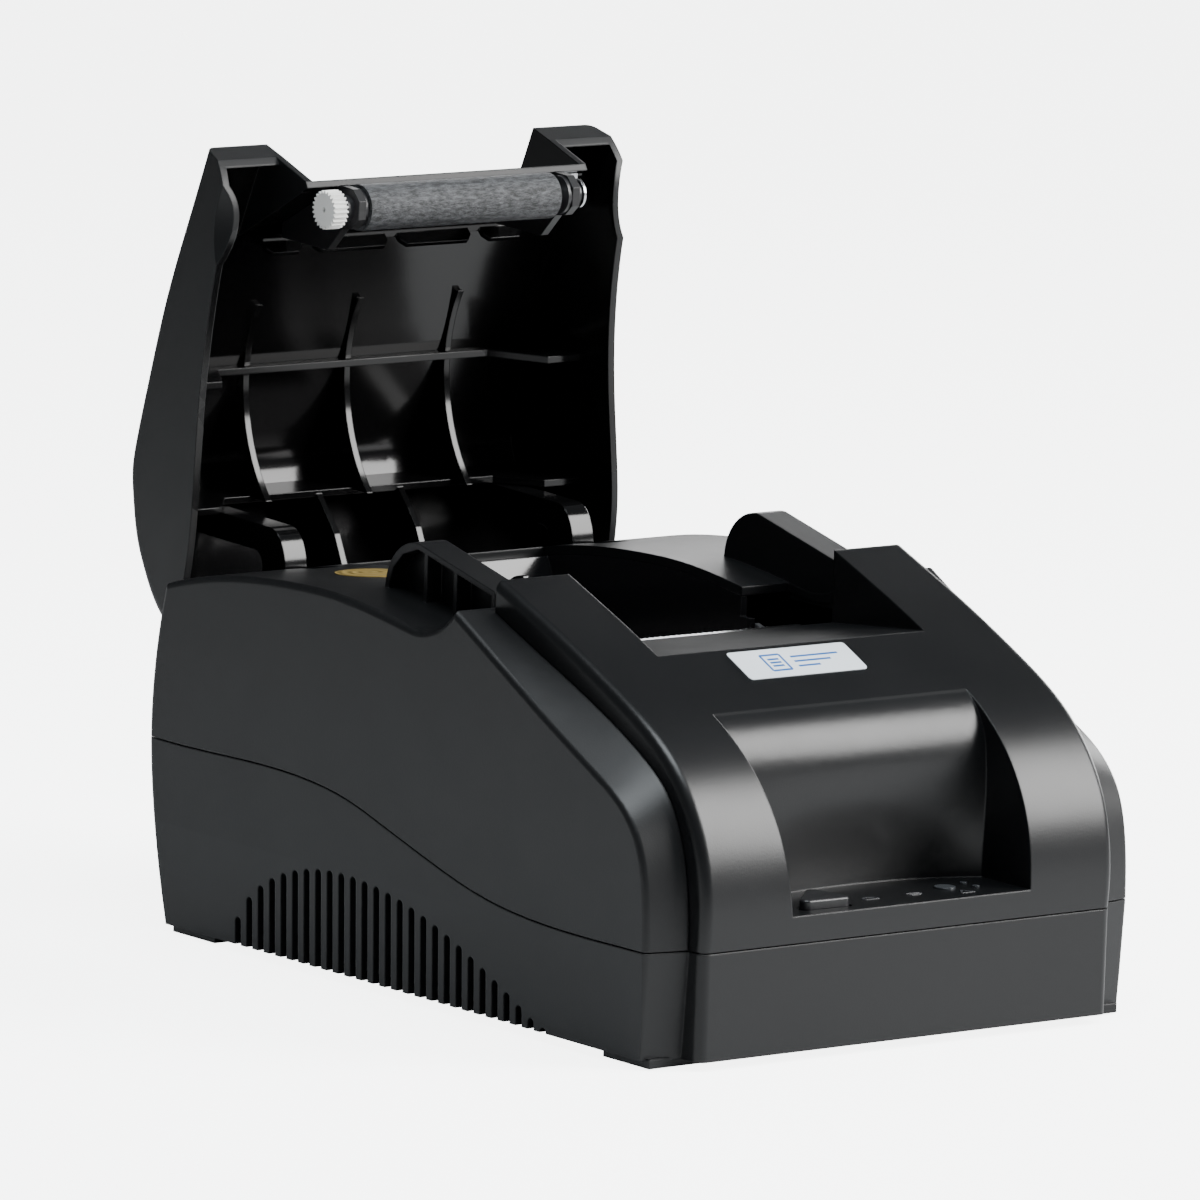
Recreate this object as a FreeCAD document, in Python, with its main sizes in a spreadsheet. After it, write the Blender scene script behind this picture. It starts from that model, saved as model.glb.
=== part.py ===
"""A clamshell receipt printer, modelled with its paper lid open.

Frame: X across the printer, Y from front (-) to rear (+), Z up, millimetres.
The origin is on the bench, midway between the sides and midway along the body.
The lid and its platen are drawn closed and then turned open about the hinge axis.
"""

import FreeCAD, Part
import math
import os

from FreeCAD import Placement, Rotation, Vector

DIMENSIONS = {
    # body
    "body_width": 134.0,
    "body_half_length": 94.65,
    "wall": 2.2,
    "floor_low": 2.0,
    "strip_inner": 57.0,
    "panel_half": 56.8,
    "seam_gap": 0.3,
    "core_half": 57.0,
    # front panel
    "shoulder_inner": 37.0,
    "shoulder_rear": -18.4,
    "recess_right": 33.2,
    "recess_left": 32.8,
    "recess_draft": 0.105,
    "recess_floor": 31.8,
    # paper bucket
    "bucket_half": 30.0,
    "roll_centre_y": 38.0,
    "roll_centre_z": 72.0,
    "bucket_radius": 34.0,
    "bucket_wall": 1.8,
    # lid
    "hinge_y": 81.0,
    "hinge_z": 76.0,
    "open_angle": 88.0,
    "lid_wall": 1.8,
    "lid_valley_half": 37.5,
    "rib_thick": 1.6,
    "scoop_radius": 25.0,
    "scoop_x": 77.2,
    "arm_x": 40.5,
    "arm_width": 6.0,
    "hinge_pin_r": 1.5,
    "running_gap": 0.05,
    # platen and print mechanism
    "platen_y": -6.6,
    "platen_z": 72.5,
    "platen_r": 5.2,
    "platen_half": 26.6,
    "platen_offset": -1.2,
    "shaft_r": 2.0,
    "bush_r": 3.0,
    "side_plate_x": 31.2,
    "sheet_steel": 1.2,
    "fine_module": 0.34,
    "wheel_module": 0.30,
    "platen_teeth": 24,
    "small_teeth": 12,
    "wheel_teeth": 60,
    "motor_r": 7.0,
    # boards and sockets
    "board_thick": 1.6,
    "main_board_z": 9.0,
    "socket_face_y": 86.0,
    # vents
    "vent_pitch": 4.3,
    "vent_width": 2.2,
    "vent_count": 27,
    "vent_rear_y": 59.6,
    # fasteners and feet
    "foot_r": 6.0,
    "foot_height": 1.0,
    "screw_r": 1.3,
    "screw_head_r": 2.8,
}

doc = FreeCAD.newDocument("receipt_printer")
sheet = doc.addObject("Spreadsheet::Sheet", "Dims")
nodes = {}


def fill_sheet():
    for row, (alias, value) in enumerate(DIMENSIONS.items(), 1):
        sheet.set(f"A{row}", alias)
        sheet.set(f"B{row}", str(value))
        sheet.setAlias(f"B{row}", alias)
    doc.recompute()


def dim(alias):
    return float(sheet.get(alias))


fill_sheet()

WALL = dim("wall")
HALF_WIDTH = dim("body_width") / 2
FRONT = -dim("body_half_length")
REAR = dim("body_half_length")
HINGE = (dim("hinge_y"), dim("hinge_z"))
PLATEN = (dim("platen_y"), dim("platen_z"))
ROLL = (dim("roll_centre_y"), dim("roll_centre_z"))
SIDES = (("left", -1), ("right", 1))
LID_OPEN = Placement(
    Vector(0, 0, 0),
    Rotation(Vector(1, 0, 0), -dim("open_angle")),
    Vector(0, *HINGE),
)

# ---------------------------------------------------------------- document helpers


def bind(item, prop, value):
    """Give a property a number or an expression that reads the sheet."""
    item.setExpression(prop, str(value))


def box(name, size, corner):
    item = doc.addObject("Part::Box", name)
    for prop, value in zip(("Length", "Width", "Height"), size):
        bind(item, prop, value)
    for axis, value in zip("xyz", corner):
        bind(item, "Placement.Base." + axis, value)
    return item


def cylinder(name, radius, height, start, along="Z"):
    item = doc.addObject("Part::Cylinder", name)
    turn = {
        "X": Rotation(Vector(0, 1, 0), 90),
        "Y": Rotation(Vector(1, 0, 0), -90),
        "Z": Rotation(),
    }[along]
    item.Placement = Placement(Vector(0, 0, 0), turn)
    bind(item, "Radius", radius)
    bind(item, "Height", height)
    for axis, value in zip("xyz", start):
        bind(item, "Placement.Base." + axis, value)
    return item


def fuse(name, items):
    item = doc.addObject("Part::MultiFuse", name)
    item.Shapes = items
    return item


def cut(name, base, tools):
    item = doc.addObject("Part::Cut", name)
    item.Base = base
    item.Tool = tools[0] if len(tools) == 1 else fuse(name + "_tools", tools)
    return item


def group(name, items):
    item = doc.addObject("Part::Compound", name)
    item.Links = items
    return item


def feature(name, shape):
    item = doc.addObject("Part::Feature", name)
    item.Shape = shape
    return item


def sketched(name, plane, start, thickness, outline, holes=()):
    """A PartDesign body: one closed outline on an origin plane, padded along its normal.

    The normals are +X for YZ, -Y for XZ and +Z for XY, and start is measured along them.
    Each hole is (first, second, radius).
    """
    body = doc.addObject("PartDesign::Body", name)
    sketch = body.newObject("Sketcher::SketchObject", name + "_sketch")
    role = plane + "_Plane"
    support = [f for f in body.Origin.OriginFeatures if f.Role == role]
    sketch.AttachmentSupport = (support[0], [""])
    sketch.MapMode = "FlatFace"
    bind(sketch, "AttachmentOffset.Base.z", start)
    corners = [Vector(a, b, 0) for a, b in outline]
    for first, second in zip(corners, corners[1:] + corners[:1]):
        sketch.addGeometry(Part.LineSegment(first, second), False)
    for a, b, radius in holes:
        ring = Part.Circle(Vector(a, b, 0), Vector(0, 0, 1), radius)
        sketch.addGeometry(ring, False)
    pad = body.newObject("PartDesign::Pad", name + "_pad")
    pad.Profile = sketch
    bind(pad, "Length", thickness)
    return body


def node(item, name):
    item.Label = name
    nodes[name] = item
    return item


def lid_node(item, name):
    """A sub-part that was drawn closed and swings with the lid."""
    doc.recompute()
    item.Placement = LID_OPEN.multiply(item.Placement)
    return node(item, name)


# ---------------------------------------------------------------- outline helpers


def curve(points, x):
    """A line, or a smooth curve, through (y, z) points in the plane of the given x."""
    at = [Vector(x, y, z) for y, z in points]
    if len(at) == 2:
        return Part.LineSegment(*at).toShape()
    spline = Part.BSplineCurve()
    spline.interpolate(at)
    return spline.toShape()


def outline(runs, x):
    return Part.Wire([curve(run, x) for run in runs])


def prism(runs, low_x, high_x):
    face = Part.Face(outline(runs, low_x))
    return face.extrude(Vector(high_x - low_x, 0, 0))


def polygon(points):
    """Straight runs that close a list of (y, z) corners."""
    return [[a, b] for a, b in zip(points, points[1:] + points[:1])]


def inset(points, depth):
    """Move an open run of (y, z) points square to itself, to the right of its direction."""
    moved = []
    for i, (y, z) in enumerate(points):
        before = points[max(i - 1, 0)]
        after = points[min(i + 1, len(points) - 1)]
        dy = after[0] - before[0]
        dz = after[1] - before[1]
        size = math.hypot(dy, dz)
        moved.append((y + depth * dz / size, z - depth * dy / size))
    return moved


def block(low, high):
    """A plain box between two corners."""
    size = [b - a for a, b in zip(low, high)]
    return Part.makeBox(*size, Vector(*low))


def rod(radius, start, end):
    first = Vector(*start)
    along = Vector(*end) - first
    return Part.makeCylinder(radius, along.Length, first, along)


def mirrored(shape):
    return shape.mirror(Vector(0, 0, 0), Vector(1, 0, 0))


def both_sides(shape):
    return shape.fuse(mirrored(shape))


# ---------------------------------------------------------------- casing outlines, (y, z)

DECK = [(90, 79), (76, 82.6), (58, 85.2), (42, 86.2), (27, 86.2), (8, 84.2), (-1, 82.8)]
RISE = [(-1, 82.8), (-8, 83.2), (-13, 85.4), (-17, 88.8)]
SIDE_SLOPE = [
    (-17, 88.8), (-35, 78.8), (-52, 69.6), (-68, 61.6), (-77, 56.6), (-83, 50.6), (-86.5, 41.3),
    (-87.8, 26),
]
STEP_SLOPE = [
    (-17, 88.8), (-35, 81.4), (-54.7, 73.4), (-72.6, 64.6), (-81, 58.4), (-86.7, 48.7),
    (-89.3, 37.6), (-90, 26),
]
PANEL_SLOPE = [
    (-18.4, 95), (-39.2, 86.8), (-61.3, 76.9), (-79.2, 66.4), (-86.2, 59.3), (-91.3, 51),
    (-94.2, 41.6), (-94.65, 26),
]
REAR_WALL = [(87.4, 2), (91.6, 20), (94.65, 44.3), (93.6, 62), (90, 79)]
SEAM = [
    (100, 44.3), (46.5, 44.2), (33, 43.5), (19.3, 41.5), (5.8, 37.8), (-7.7, 33.9), (-21, 30.3),
    (-34, 27.7), (-47.3, 26.3), (-66.6, 25.7), (-100, 25.7),
]
LID_TOP = [
    (-18, 95), (0, 102.2), (17.7, 109), (37.4, 114.3), (52, 117.7), (58.6, 118.4),
    (65.7, 116.6), (74.8, 112.4), (80.5, 107.7), (84.6, 103.5), (88.5, 98), (91, 92),
    (91.8, 88),
]
LID_RIM = [
    (91.8, 88), (80, 86.6), (70, 85.6), (58, 85.9), (42, 86.9), (27, 86.9), (8, 84.9),
    (-1, 83.5), (-8, 83.9), (-12.8, 86.2), (-16.2, 88.9),
]


def body_runs(slope, x_front_low):
    """The closed side outline of the body for one front slope."""
    foot = (x_front_low, dim("floor_low"))
    return [REAR_WALL, DECK, RISE, slope, [slope[-1], foot], [foot, REAR_WALL[0]]]


def casing_solid():
    """The whole body's outside: core, slanted side strips and proud centre."""
    core_half = dim("strip_inner")
    core = prism(body_runs(STEP_SLOPE, -88.5), -core_half, core_half)
    inner = outline(body_runs(STEP_SLOPE, -88.5), core_half)
    outer = outline(body_runs(SIDE_SLOPE, -86.3), HALF_WIDTH)
    strip = Part.makeLoft([inner, outer], True, True)
    rim = [e for e in strip.Edges if e.BoundBox.XMin > HALF_WIDTH - 0.01]
    rim = [e for e in rim if e.BoundBox.ZMax > dim("floor_low") + 1]
    strip = strip.makeFillet(1.4, rim)
    return core.fuse([strip, mirrored(strip)]).removeSplitter()


def below_seam(drop):
    curve_points = [(y, z - drop) for y, z in SEAM]
    first, last = curve_points[0], curve_points[-1]
    runs = [curve_points, [last, (last[0], -5)], [(last[0], -5), (first[0], -5)], [(first[0], -5), first]]
    return prism(runs, -80, 80)


def core_cavity():
    """The hollow of the body, one wall in from its outside."""
    top = inset(DECK[::-1], WALL)[::-1]
    rise = inset(RISE[::-1], WALL)[::-1]
    slope = inset(SIDE_SLOPE[::-1], WALL)[::-1]
    rear = inset(REAR_WALL[::-1], WALL)[::-1]
    low = dim("floor_low") + WALL
    ring = [(rear[0][0], low)] + rear[1:-1] + [(87.6, 77.4)]
    top = [(87.6, 77.4)] + top[1:-1]
    front = [top[-1], (rise[1][0], rise[1][1]), (rise[2][0], rise[2][1]), slope[0]]
    foot = (slope[-1][0], low)
    runs = [ring, top, front, slope, [slope[-1], foot], [foot, ring[0]]]
    return prism(runs, -(HALF_WIDTH - WALL), HALF_WIDTH - WALL)


def panel_runs(slope, low_z):
    rear_low = (slope[0][0], low_z)
    front_low = (slope[-1][0], low_z)
    return [slope, [slope[-1], front_low], [front_low, rear_low], [rear_low, slope[0]]]


def panel_solid(low_z):
    """The proud centre of the front, with its two long edges rounded."""
    half = dim("panel_half")
    solid = prism(panel_runs(PANEL_SLOPE, low_z), -half, half)
    long_edges = [
        e for e in solid.Edges
        if e.BoundBox.XLength < 0.01 and e.BoundBox.YMin < -90 and e.BoundBox.ZLength > 1
    ]
    return solid.makeFillet(2.2, long_edges)


def recess_section(x, back_low, grow):
    """One cross-section of the scoop above the feed button, rolling over from the slope."""
    floor = dim("recess_floor") - grow
    brow = -78.2
    wall = [((back_low + brow) / 2 - 0.3, 46), (brow, 58.5), (-77.2, 63.8), (-74.8, 68.2), (-71, 71.7)]
    wall = [(back_low + grow, floor)] + [(y + grow, z - 0.35 * grow) for y, z in wall]
    rim = (wall[-1][0] + 11, wall[-1][1] + 10)
    return outline([
        [(-102, floor), wall[0]],
        wall,
        [wall[-1], rim],
        [rim, (-102, rim[1])],
        [(-102, rim[1]), (-102, floor)],
    ], x)


def recess_solid(grow):
    """The scoop: its back wall curves forward near both ends and its left end is drafted."""
    plan = [(-42, -82.4), (-25, -75), (0, -72), (25, -75), (40, -82.4)]
    scoop = Part.makeLoft([recess_section(x, back_low, grow) for x, back_low in plan], True, False)
    low, high = 20, 90
    right = dim("recess_right") + grow
    base = dim("recess_floor")
    left = [-dim("recess_left") - grow - dim("recess_draft") * (z - base) for z in (low, high)]
    corners = [(left[0], low), (right, low), (right, high), (left[1], high)]
    at = [Vector(x, -110, z) for x, z in corners]
    ends = Part.Face(Part.makePolygon(at + at[:1])).extrude(Vector(0, 60, 0))
    return scoop.common(ends)


def valley_solid(grow):
    """The dip between the two shoulders, from the tear blade forward."""
    half = dim("shoulder_inner") + grow
    corners = [(-10, 78 - grow), (-52, 81.9 - grow), (-52, 110), (-10, 110)]
    return prism(polygon(corners), -half, half)


# ---------------------------------------------------------------- casing sub-parts


def make_base_shell():
    outside = casing_solid().fuse(panel_solid(dim("floor_low")))
    inside = core_cavity().fuse(front_cavity(dim("floor_low") + WALL))
    shell = outside.cut(inside).common(below_seam(dim("seam_gap")))
    shell = shell.fuse([corner_skid(x, y) for x in (-1, 1) for y in (-1, 1)])
    shell = shell.fuse(connector_bay())
    shell = shell.fuse(base_posts())
    shell = shell.cut(Part.makeCompound(vent_slots() + base_holes()))
    node(feature("base_shell", shell.removeSplitter()), "base_shell")


def front_cavity(low_z):
    slope = inset(PANEL_SLOPE[::-1], WALL)[::-1]
    slope[0] = (dim("shoulder_rear") - WALL, slope[0][1] - 1)
    half = dim("panel_half") - WALL
    return prism(panel_runs(slope, low_z), -half, half)


def corner_skid(x_sign, y_sign):
    """A moulded skid under one corner, which holds a rubber foot."""
    centre_y = 78 if y_sign > 0 else -80
    low_x = 42 if x_sign > 0 else -65
    return block((low_x, centre_y - 8, 0.4), (low_x + 23, centre_y + 8, dim("floor_low") + 0.5))


def connector_bay():
    """The sunk rear plate that the sockets sit in."""
    face = dim("socket_face_y")
    low = dim("floor_low") + 0.5
    solid = block((-57, face - 2, low), (57, 93, 29))
    solid = solid.cut(block((-55, face, 6.5), (55, 100, 27)))
    outside = prism(body_runs(STEP_SLOPE, -88.5), -58, 58)
    return solid.common(outside)


def base_posts():
    posts = []
    for x in (-60, 60):
        for y in (-70, 62):
            posts.append(rod(4, (x, y, 3), (x, y, 20.8)))
    for x in (-28, 28):
        for y in (-9, -1):
            posts.append(rod(2.4, (x, y, 3), (x, y, 47)))
    for x in (-50, 50):
        for y in (12, 78):
            posts.append(rod(2.6, (x, y, 3), (x, y, dim("main_board_z"))))
    return posts


def vent_top(y):
    """The arched upper line of the vents."""
    crest_y, crest_z = 21, 24.8
    if y > crest_y:
        return crest_z * math.sqrt(1 - ((y - crest_y) / 41) ** 2)
    return crest_z * math.cos(math.pi / 2 * (crest_y - y) / 78)


def vent_slots():
    slots = []
    width = dim("vent_width")
    for i in range(int(dim("vent_count"))):
        y = dim("vent_rear_y") - i * dim("vent_pitch")
        top = max(vent_top(y), 3.2) - width / 2
        body = block((63, y - width / 2, 1), (69, y + width / 2, top))
        body = body.fuse(rod(width / 2, (63, y, top), (69, y, top)))
        slots += [body, mirrored(body)]
    return slots


def base_holes():
    face = dim("socket_face_y")
    low = dim("main_board_z") + dim("board_thick")
    holes = [
        block((-55, face, 6.5), (55, 100, 27)),
        block((-32, face - 3, low), (-20, face + 1, low + 11)),
        block((-7, face - 3, low), (7, face + 1, low + 12.5)),
        block((17, face - 3, low), (26, face + 1, low + 11)),
        block((34, face - 3, 11), (52, face + 1, 24.2)),
    ]
    for x in (-60, 60):
        for y in (-70, 62):
            holes.append(rod(dim("screw_r") + 0.2, (x, y, 1), (x, y, 21)))
            holes.append(rod(dim("screw_head_r") + 0.3, (x, y, 1), (x, y, 6)))
    for x, y in foot_places():
        holes.append(rod(dim("foot_r"), (x, y, -1), (x, y, dim("foot_height"))))
    for x in (-28, 28):
        for y in (-9, -1):
            holes.append(rod(0.9, (x, y, 40), (x, y, 48)))
    for side in (-1, 1):
        holes.append(side_taper(side))
    return holes


def side_taper(side):
    """The wedge that draws the lower side in towards the bench."""
    corners = [Vector(side * x, -110, z) for x, z in ((67.0, 25), (66.1, -2), (75, -2), (75, 25))]
    face = Part.Face(Part.makePolygon(corners + corners[:1]))
    return face.extrude(Vector(0, 220, 0))


def foot_places():
    return [(x, y) for x in (-53, 53) for y in (-80, 78)]


def ear_solid(side):
    """A latch ear beside the paper well, which stands inside the closed lid."""
    runs = [
        [(-11, 80), (29, 80)],
        [(29, 80), (28.8, 87), (27.2, 92), (23.4, 95.9), (17.2, 97.6)],
        [(17.2, 97.6), (-11, 91)],
        [(-11, 91), (-11, 80)],
    ]
    hollow = polygon([
        (-9.8, 82), (27.7, 82), (27.4, 87), (25.9, 91.2), (22.6, 94.4), (17.2, 96.2), (-9.8, 89.9),
    ])
    low, high = (43.5, 51.4) if side > 0 else (-51.4, -43.5)
    solid = prism(runs, low, high)
    outer = high if side > 0 else low
    depth = 4.0
    pocket = prism(hollow, min(outer, outer - side * depth), max(outer, outer - side * depth))
    ribs = [block((low, y, 80), (high, y + 1.2, 100)) for y in (2.8, 13.6)]
    return solid.cut(pocket.cut(ribs))


def make_upper_shell():
    shell = casing_solid().cut(core_cavity()).cut(below_seam(0))
    shell = shell.fuse([ear_solid(1), ear_solid(-1)] + upper_posts())
    front_space = prism(panel_runs([(-18.4, 110), (-110, 110)], 0), -57, 57)
    bucket = block((-dim("bucket_half"), 4, 60), (dim("bucket_half"), 78, 100))
    well = block((-43.4, -18.4, 60), (43.4, 5, 100))
    cuts = [front_space, bucket, well]
    half = dim("arm_width") / 2 + 0.8
    for _, side in SIDES:
        x = side * dim("arm_x")
        cuts.append(block((x - half, 64.5, 70), (x + half, 88, 95)))
    shell = shell.cut(cuts)
    node(feature("upper_shell", shell.removeSplitter()), "upper_shell")


def upper_posts():
    """Long screw posts that reach down to the base, trimmed to the body's outside."""
    outside = prism(body_runs(SIDE_SLOPE, -86.3), -HALF_WIDTH + 1, HALF_WIDTH - 1)
    posts = []
    for x in (-60, 60):
        for y in (-70, 62):
            post = rod(3, (x, y, 21), (x, y, 95)).cut(rod(dim("screw_r"), (x, y, 20), (x, y, 32)))
            posts.append(post.common(outside))
    return posts


def make_front_panel():
    low = SEAM[-1][1]
    outside = panel_solid(dim("floor_low")).cut(below_seam(0))
    shell = outside.cut(front_cavity(low - 5))
    tubs = [recess_solid(WALL).common(outside), valley_solid(WALL).common(outside)]
    shell = shell.fuse(tubs)
    shell = shell.cut([recess_solid(0), valley_solid(0)])
    shell = shell.fuse([rod(2, (x, -78.5, 21.6), (x, -78.5, 30.5)) for x in (-27, 27)])
    lens_holes = [rod(r, (x, y, 27), (x, y, 34)) for x, y, r in lens_places()]
    shell = shell.cut([button_solid(0.35, 25, 40)] + lens_holes)
    node(feature("front_panel", shell.removeSplitter()), "front_panel")


def make_bucket():
    radius = dim("bucket_radius")
    half = dim("bucket_half")
    wall = dim("bucket_wall")
    inside = bucket_profile(radius, 0)
    outside = bucket_profile(radius + wall, wall)
    solid = prism(outside, -half - wall, half + wall).cut(prism(inside, -half, half))
    solid = solid.cut(block((-half, -5, 66), (half, 10, 90)))
    solid = solid.cut(block((-50, -5, 77), (50, 5.2, 100)))
    solid = solid.common(core_cavity())
    node(feature("paper_bucket", solid), "paper_bucket")


def bucket_profile(radius, grow):
    """A trough round the paper roll, open at the top."""
    y, z = ROLL
    front, rear = (y - radius, z), (y + radius, z)
    angles = [math.pi * k / 8 for k in range(9)]
    mids = [(y - radius * math.cos(a), z - radius * math.sin(a)) for a in angles]
    lip = (78 + grow, 84)
    return [
        mids,
        [rear, lip],
        [lip, (lip[0], 95)],
        [(lip[0], 95), (front[0], 95)],
        [(front[0], 95), front],
    ]


def conforming_patch(runs, slope_lift, cutter):
    """A thin sticker that follows the surface under it."""
    lifted = [[(y, z + slope_lift) for y, z in run] for run in runs]
    solid = prism(lifted, -60, 60).cut(prism(runs, -60, 60))
    return solid.common(cutter)


def badge_cutter():
    """The badge's outline with rounded corners, as an upright block."""
    solid = block((-19.7, -61.4, 60), (12.9, -52.2, 100))
    corners = [e for e in solid.Edges if e.BoundBox.ZLength > 1]
    return solid.makeFillet(0.9, corners)


def make_labels():
    panel = panel_runs(PANEL_SLOPE, 10)
    badge = conforming_patch(panel, 0.2, badge_cutter())
    node(feature("badge_label", badge), "badge_label")
    deck = [DECK, [DECK[-1], (-1, 60)], [(-1, 60), (90, 60)], [(90, 60), DECK[0]]]
    disc = rod(7.4, (-42.6, 47, 70), (-42.6, 47, 100)).common(block((-52, 30, 60), (-30.6, 60, 110)))
    node(feature("foil_seal", conforming_patch(deck, 0.15, disc)), "foil_seal")
    node(box("rating_label", (46, 30, 0.2), (-23, -25, "Dims.floor_low - 0.2")), "rating_label")


def make_feet_and_screws():
    feet = [cylinder("foot", "Dims.foot_r", "Dims.foot_height", (x, y, 0)) for x, y in foot_places()]
    node(group("rubber_feet", feet), "rubber_feet")
    screws = []
    for x in (-60, 60):
        for y in (-70, 62):
            shank = cylinder("screw_shank", "Dims.screw_r", 24, (x, y, 6))
            head = cylinder("screw_head", "Dims.screw_head_r", 2.2, (x, y, 3.8))
            cross = [
                box("cross_long", (3.4, 0.7, 1.2), (x - 1.7, y - 0.35, 3.8)),
                box("cross_wide", (0.7, 3.4, 1.2), (x - 0.35, y - 1.7, 3.8)),
            ]
            screws.append(cut("case_screw", fuse("screw_solid", [shank, head]), cross))
    node(group("case_screws", screws), "case_screws")
    screws = []
    for x in (-28, 28):
        for y in (-9, -1):
            shank = cylinder("mech_shank", 0.9, 7.2, (x, y, 41))
            head = cylinder("mech_head", 1.7, 1.2, (x, y, 48.2))
            screws.append(fuse("mech_screw", [shank, head]))
    node(group("mechanism_screws", screws), "mechanism_screws")


# ---------------------------------------------------------------- feed button and lamps


def button_corners(grow):
    """The three-cornered plan of the feed button, moved out by grow."""
    corners = [(-28.2, -90.6), (-13.0, -91.2), (-15.8, -78.4)]
    centre = [sum(c[i] for c in corners) / 3 for i in (0, 1)]
    moved = []
    for x, y in corners:
        reach = math.hypot(x - centre[0], y - centre[1])
        scale = 1 + 1.9 * grow / reach
        moved.append((centre[0] + (x - centre[0]) * scale, centre[1] + (y - centre[1]) * scale))
    return moved


def button_solid(grow, low, high):
    corners = [Vector(x, y, low) for x, y in button_corners(grow)]
    face = Part.Face(Part.makePolygon(corners + corners[:1]))
    solid = face.extrude(Vector(0, 0, high - low))
    upright = [e for e in solid.Edges if e.BoundBox.ZLength > high - low - 0.01]
    return solid.makeFillet(1.6, upright)


def lens_places():
    """Lamp lenses in the recess floor as (x, y, radius)."""
    return [(17.6, -84.6, 2.4), (24.5, -82.6, 0.9), (24.5, -86.8, 0.9)]


def make_button():
    cap = button_solid(0, 27.4, 33.9)
    top_edges = [e for e in cap.Edges if e.BoundBox.ZMin > 33.8]
    cap = cap.makeFillet(0.6, top_edges)
    flange = button_solid(0.9, 26.4, 27.6)
    stem = rod(1.8, (-19, -86, 26.6), (-19, -86, 27.5))
    node(feature("feed_button", cap.fuse([flange, stem])), "feed_button")
    board = sketched(
        "panel_board", "XY", 20, "Dims.board_thick",
        [(-31, -91.5), (30, -91.5), (30, -76), (-31, -76)],
    )
    node(board, "panel_board")
    can = box("switch_can", (6, 6, 2.4), (-22, -89, 21.6))
    tip = cylinder("switch_tip", 1.2, 1.2, (-19, -86, 24))
    node(fuse("feed_switch", [can, tip]), "feed_switch")
    lenses = []
    for x, y, radius in lens_places():
        lenses.append(cylinder("lens", radius - 0.05, 10.4, (x, y, 21.8)))
    node(group("indicator_lenses", lenses), "indicator_lenses")


# ---------------------------------------------------------------- boards and sockets


def make_boards():
    holes = [(x, y, 1.1) for x in (-50, 50) for y in (12, 78)]
    board = sketched(
        "main_board", "XY", "Dims.main_board_z", "Dims.board_thick",
        [(-54, 8), (54, 8), (54, 83.6), (-54, 83.6)], holes,
    )
    node(board, "main_board")
    top = "Dims.main_board_z + Dims.board_thick"
    chips = [
        box("processor", (12, 12, 1.6), (-10, 30, top)),
        box("memory", (8, 6, 1.4), (12, 34, top)),
        box("driver", (10, 8, 1.8), (-34, 26, top)),
        box("head_socket", (27, 5, 3), (-13.5, 10, top)),
        box("power_coil", (9, 9, 5), (30, 40, top)),
        cylinder("large_capacitor", 4, 12, (38, 62, top)),
        cylinder("small_capacitor", 3, 8, (27, 62, top)),
        cylinder("bus_capacitor", 3, 8, (-44, 50, top)),
    ]
    node(group("board_parts", chips), "board_parts")


def socket(name, low_x, width, height, depth, mouth, mouth_depth):
    """A square socket on the main board, open at the rear. mouth is (low x, low z, width, height)."""
    face = "Dims.socket_face_y"
    top = "Dims.main_board_z + Dims.board_thick"
    body = box(name + "_case", (width, depth, height), (low_x, f"{face} - {depth}", top))
    x, z, wide, high = mouth
    hollow = box(
        name + "_mouth", (wide, mouth_depth + 1, high),
        (x, f"{face} - {mouth_depth}", f"{top} + {z}"),
    )
    return body, hollow


def make_sockets():
    body, mouth = socket("usb", -32, 12, 11, 16, (-30.25, 1.6, 8.5, 7.8), 9)
    tongue = box("usb_tongue", (5.6, 8, 1.8), (-28.8, "Dims.socket_face_y - 9", 16.4))
    hollow = cut("usb_hollow", body, [mouth])
    node(hollow, "usb_socket")
    node(tongue, "usb_tongue")
    body, mouth = socket("drawer", -7, 14, 12.5, 15, (-5, 2.5, 10, 7.5), 11)
    node(cut("drawer_socket", body, [mouth]), "drawer_socket")
    body, _ = socket("power", 17, 9, 11, 14, (0, 0, 1, 1), 1)
    bore = cylinder("jack_bore", 3.2, 11, (21.5, "Dims.socket_face_y - 9.5", 16.6), "Y")
    pin = cylinder("jack_pin", 1.0, 8, (21.5, "Dims.socket_face_y - 9.5", 16.6), "Y")
    node(cut("power_jack", body, [bore]), "power_jack")
    node(pin, "jack_pin")


ROCKER = (82.5, 17.6)


def make_power_switch():
    outer = box("switch_outer", (18, 15, 13.2), (34, 72, 11))
    lip = box("switch_lip", (20, 1, 15.2), (33, "Dims.socket_face_y", 10))
    hole = box("switch_hole", (14.4, 14, 11.6), (35.8, 76, 11.8))
    node(cut("switch_body", fuse("switch_outside", [outer, lip]), [hole]), "switch_frame")
    node(cylinder("rocker_pin", 0.9, 14.4, (35.8, *ROCKER), "X"), "switch_pin")
    y, z = ROCKER
    rocker = sketched(
        "power_rocker", "YZ", 36.1, 13.8,
        [(y - 2.4, z - 2.6), (y + 1.6, z - 4.6), (y + 5.6, z - 4.3), (y + 4.1, z), (y + 4.3, z + 4.3),
         (y + 1.4, z + 4.6), (y - 2.4, z + 2.6)],
        [(y, z, 0.95)],
    )
    node(rocker, "power_rocker")


# ---------------------------------------------------------------- print mechanism


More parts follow.
